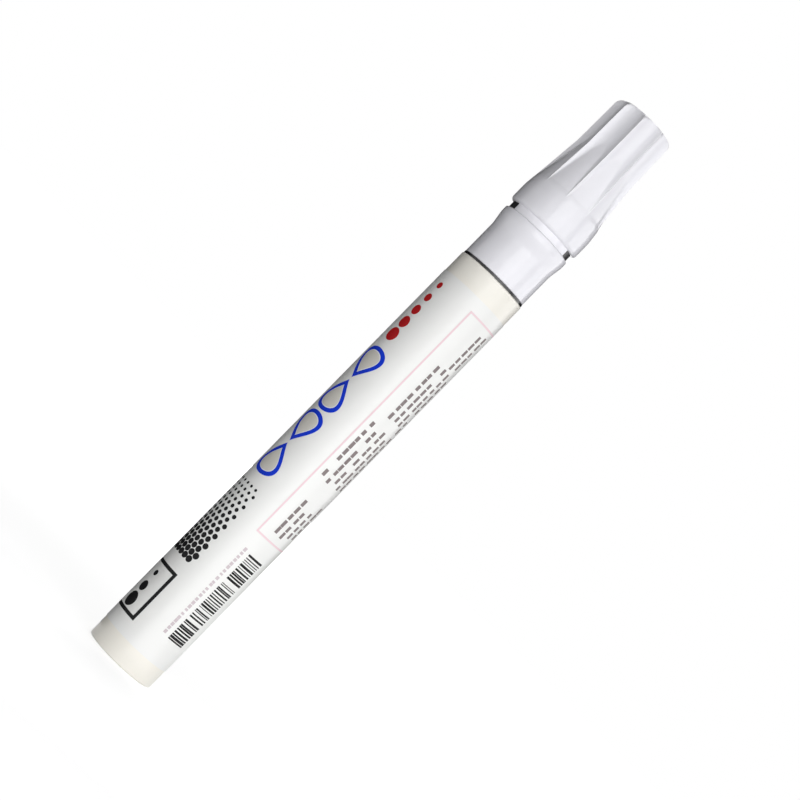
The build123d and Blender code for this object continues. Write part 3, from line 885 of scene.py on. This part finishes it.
def drop_bands(*shares):
    """Bands between copies of the drop's curve at these shares of its size."""
    points = [drop_heart + (spot - drop_heart) * share for share in shares for spot in drop_curve]
    faces = []
    for ring in range(len(shares) - 1):
        for k in range(drop_steps):
            here, ahead = ring * drop_steps + k, ring * drop_steps + (k + 1) % drop_steps
            faces.append((here, ahead, ahead + drop_steps, here + drop_steps))
    return points, faces


print("drop:", len(drop_curve), "points")

# %% [markdown]
# An Array modifier could repeat the drop, but it can't turn every second one. A tree can: it puts a drop
# on each point of a line, and the odd ones get half a turn.

# %% Print the drops
drop_row = {"Drops": 4, "First": Vector((-6.7, 46.6, 0)) * MM, "Step": Vector((0, 8.1, 0)) * MM}
drop_tree, given, out = shape_tree("drop_row", **drop_row)
t = drop_tree
line_sizes = {"Count": given["Drops"], "Start Location": given["First"], "Offset": given["Step"]}
drop_points = flow(t, "GeometryNodeMeshLine", line_sizes)
odd = reckon(t, "MODULO", flow(t, "GeometryNodeInputIndex"), 2.0)
facing = joined(t, z=reckon(t, "MULTIPLY", odd, math.pi))
end_in_ink(t, copies(t, drop_points, given["Geometry"], Rotation=facing), given, out, cuts=2)

printed("drop_outlines", drop_tree, drop_bands(0.72, 0.86, 1.0), **drop_row, Material=inks["blue"])
printed("drop_cores", drop_tree, drop_bands(0.02, 0.23, 0.45, 0.66), **drop_row, Material=inks["stone"])

# %% [markdown]
# Round dots come in three places. Each is a grid of points with a disc on every point, so one tree makes
# them all. The discs grow or shrink from row to row, and every second row can be shifted, as in the
# screen of an old printing block.

# %% Tree for dots
points_round_dot = 20


def span(tree, count, pitch):
    """How far so many points reach at this pitch."""
    return reckon(tree, "MULTIPLY", reckon(tree, "SUBTRACT", count, 1.0), pitch)


def point_grid(tree, columns, rows, across, along):
    """A grid of points round the origin."""
    sizes = {"Size X": span(tree, columns, across), "Size Y": span(tree, rows, along)}
    return flow(tree, "GeometryNodeMeshGrid", {**sizes, "Vertices X": columns, "Vertices Y": rows})


dot_tree, given, out = shape_tree(
    "dot_screen", Columns=1, Rows=1, Middle=Vector((0, 0, 0)), Across=1.0 * MM, Along=1.0 * MM,
    LowSize=0.5 * MM, HighSize=0.5 * MM, Stagger=0.0, Cuts=0,
)
t = dot_tree
dot_grid = point_grid(t, given["Columns"], given["Rows"], given["Across"], given["Along"])
dot_y = split(t, flow(t, "GeometryNodeInputPosition"))[1]
half_span = reckon(t, "MULTIPLY", span(t, given["Rows"], given["Along"]), 0.5)
lowest = reckon(t, "MULTIPLY", half_span, -1.0)
dot_size = mapped(t, dot_y, ends=(lowest, half_span), onto=(given["LowSize"], given["HighSize"]))
rows_up = reckon(t, "DIVIDE", reckon(t, "ADD", dot_y, half_span), given["Along"])
odd_row = reckon(t, "MODULO", reckon(t, "ROUND", rows_up), 2.0)
shifted = joined(t, reckon(t, "MULTIPLY", odd_row, given["Stagger"]))
size_mark = {"Geometry": dot_grid, "Name": "size", "Value": dot_size}
sized = flow(t, "GeometryNodeStoreNamedAttribute", size_mark)
staggered = flow(t, "GeometryNodeSetPosition", {"Geometry": sized, "Offset": shifted})
moved = flow(t, "GeometryNodeTransform", {"Geometry": staggered, "Translation": given["Middle"]})
disc_sizes = {"Vertices": points_round_dot, "Radius": 1.0}
disc = flow(t, "GeometryNodeMeshCircle", disc_sizes, fill_type="TRIANGLE_FAN")
disc_scale = flow(t, "GeometryNodeInputNamedAttribute", {"Name": "size"})
end_in_ink(t, copies(t, moved, disc, Scale=disc_scale), given, out, given["Cuts"])
print("dot tree:", len(t.nodes), "nodes")

# %% [markdown]
# The red dots shrink towards the cap, the dots of the black screen grow towards the tail, and three black
# dots near the tail show widths of line. The tree draws everything, so the flat drawings are empty.

# %% Print the dots
EMPTY = ((), ())
printed(
    "red_dots", dot_tree, EMPTY, Rows=5, Middle=Vector((-7.1, 84.3, 0)) * MM, Along=3.1 * MM,
    LowSize=1.5 * MM, HighSize=0.7 * MM, Cuts=2, Material=inks["red"],
)
printed(
    "dot_screen", dot_tree, EMPTY, Columns=7, Rows=15, Middle=Vector((-8.1, 31.4, 0)) * MM,
    Across=1.36 * MM, Along=1.24 * MM, LowSize=0.68 * MM, HighSize=0.30 * MM, Stagger=0.68 * MM,
    Material=inks["black"],
)
printed(
    "width_dots", dot_tree, EMPTY, Rows=3, Middle=Vector((-7.6, 13.3, 0)) * MM, Along=3.2 * MM,
    LowSize=1.6 * MM, HighSize=0.6 * MM, Cuts=2, Material=inks["black"],
)

# %% [markdown]
# Frames are made of strips: the black frame round the three dots, and the thin pink frame on the right. A
# strip is drawn in short lengths, so that it can follow the barrel, and goes straight into the ink tree.

# %% Frames
cell_length = 0.5
fewest_cells = 4


def strip(left, right, low, high, cells):
    """A rectangle cut into cells across the label, as points and faces."""
    points, faces = [], []
    for k in range(cells + 1):
        x = left + (right - left) * k / cells
        points += [(x, low), (x, high)]
    for k in range(cells):
        faces.append((2 * k, 2 * k + 2, 2 * k + 3, 2 * k + 1))
    return points, faces


def frame_of(left, right, low, high, line):
    """Four strips that make a frame, as one drawing."""
    cells = max(fewest_cells, int((right - left) / cell_length))
    points, faces = [], []
    for some_points, some_faces in (
        strip(left, right, low, low + line, cells),
        strip(left, right, high - line, high, cells),
        strip(left, left + line, low + line, high - line, cells=2),
        strip(right - line, right, low + line, high - line, cells=2),
    ):
        faces += [tuple(len(points) + number for number in face) for face in some_faces]
        points += some_points
    return points, faces


black_box = frame_of(left=-12.4, right=-3.3, low=7.6, high=19.2, line=0.7)
pink_box = frame_of(left=1.3, right=13.4, low=35.0, high=91.0, line=0.36)
printed("black_frame", ink_tree, black_box, Cuts=1, Material=inks["black"])
printed("pink_frame", ink_tree, pink_box, Cuts=1, Material=inks["pink"])

# %% [markdown]
# Inside the pink frame are rows of small print, drawn as dashes of uneven length, which is how the eye
# sees print of this size. The tree puts a grid of points at the middle of a paragraph and a dash on each
# point. A fixed seed shifts the rows, picks the lengths, slides each dash in its place and leaves out
# some dashes.

# %% Tree for small print
def chance(tree, kind, **inputs):
    """A random value for each point, as a number or as a yes or no."""
    return flow(tree, "FunctionNodeRandomValue", inputs, data_type=kind)


print_tree, given, out = shape_tree(
    "small_print", Rows=3, Dashes=8, RowPitch=1.2 * MM, DashPitch=1.8 * MM, Line=0.4 * MM, Shortest=0.35,
    Longest=0.9, Gaps=0.1, Seed=7, Cuts=1,
)
t = print_tree
row_nudge = 0.25
print_grid = point_grid(t, given["Rows"], given["Dashes"], given["RowPitch"], given["DashPitch"])
grid_across = split(t, flow(t, "GeometryNodeInputPosition"))[0]
rows_across = reckon(t, "DIVIDE", grid_across, given["RowPitch"])
row_number = reckon(t, "FLOOR", reckon(t, "ADD", rows_across, row_nudge))
row_share = chance(t, "FLOAT", Min=-0.5, Max=0.5, ID=row_number, Seed=given["Seed"])
row_shift = joined(t, y=reckon(t, "MULTIPLY", row_share, given["DashPitch"]))
print_grid = flow(t, "GeometryNodeSetPosition", {"Geometry": print_grid, "Offset": row_shift})
dash_points = copies(t, given["Geometry"], print_grid)
left_out = chance(t, "BOOLEAN", Probability=given["Gaps"], Seed=given["Seed"])
kept = flow(t, "GeometryNodeDeleteGeometry", {"Geometry": dash_points, "Selection": left_out})
print("print tree so far:", len(t.nodes), "nodes")

# %% [markdown]
# Each point that is left gets its dash. A short dash has room to slide in its place, which breaks up the
# columns. The dash itself is one square, stretched to the line's width and the length that was picked.

# %% Put the dashes on their points
slide_seed_step = 50
dash_share = chance(t, "FLOAT", Min=given["Shortest"], Max=given["Longest"], Seed=given["Seed"])
dash_length = reckon(t, "MULTIPLY", dash_share, given["DashPitch"])
room = reckon(t, "SUBTRACT", given["DashPitch"], dash_length)
slide_seed = reckon(t, "ADD", given["Seed"], slide_seed_step)
slide_share = chance(t, "FLOAT", Min=-0.5, Max=0.5, Seed=slide_seed)
slide = joined(t, y=reckon(t, "MULTIPLY", room, slide_share))
kept = flow(t, "GeometryNodeSetPosition", {"Geometry": kept, "Offset": slide})
square = {"Size X": 1.0, "Size Y": 1.0, "Vertices X": 2, "Vertices Y": 2}
dash = flow(t, "GeometryNodeMeshGrid", square)
dash_scale = joined(t, given["Line"], dash_length, 1.0)
end_in_ink(t, copies(t, kept, dash, Scale=dash_scale), given, out, given["Cuts"])
print("print tree:", len(t.nodes), "nodes")

# %% [markdown]
# Four paragraphs stand in the pink frame. Below it the same tree prints a block of bars, which are only
# wider dashes, with a pale strip of small marks beside them. Every drawing is one point, the middle of
# its block.

# %% Print the paragraphs and the bars
# Across the label, height above the tail, rows and dashes in a row
paragraphs = ((7.7, 85.2, 2, 5), (7.1, 72.7, 4, 8), (6.4, 57.1, 5, 8), (6.9, 41.2, 4, 5))
for number, (across, height, rows, dashes_in_row) in enumerate(paragraphs, 1):
    printed(
        f"small_print_{number}", print_tree, ([(across, height)], []), Rows=rows, Dashes=dashes_in_row,
        RowPitch=1.7 * MM, DashPitch=1.7 * MM, Line=0.7 * MM, Shortest=0.6, Longest=0.92, Gaps=0.05,
        Seed=10 + number, Material=inks["grey"],
    )
printed(
    "bars", print_tree, ([(5.75, 20.4)], []), Rows=1, Dashes=38, DashPitch=0.565 * MM, Line=4.2 * MM,
    Shortest=0.2, Longest=0.9, Gaps=0.05, Seed=5, Cuts=3, Material=inks["black"],
)
printed(
    "bar_strip", print_tree, ([(2.4, 20.4)], []), Rows=1, Dashes=24, DashPitch=0.9 * MM, Line=0.62 * MM,
    Shortest=0.4, Longest=0.9, Gaps=0.1, Seed=3, Material=inks["mauve"],
)

# %% [markdown]
# The film is wrapped once round the barrel and laps over its own edge at the back. The lap is a long
# strip of the same film, laid by the ink tree with nearly the film's own thickness, so its edge catches
# the light.

# %% Lap of the film
lap_half = 1.6
lap_middle = math.pi * label_radius
film_low, film_high = (round(z / MM, 3) for z in (label_low[2], label_high[2]))
lap = strip(lap_middle - lap_half, lap_middle + lap_half, film_low, film_high, cells=8)
printed("film_lap", ink_tree, lap, Cuts=1, Lift=0.002 * MM, Ink=0.05 * MM, Material=finishes["label"])

# %% [markdown]
# The dressed marker has to stay within the box of its solids.

# %% Import json
import json
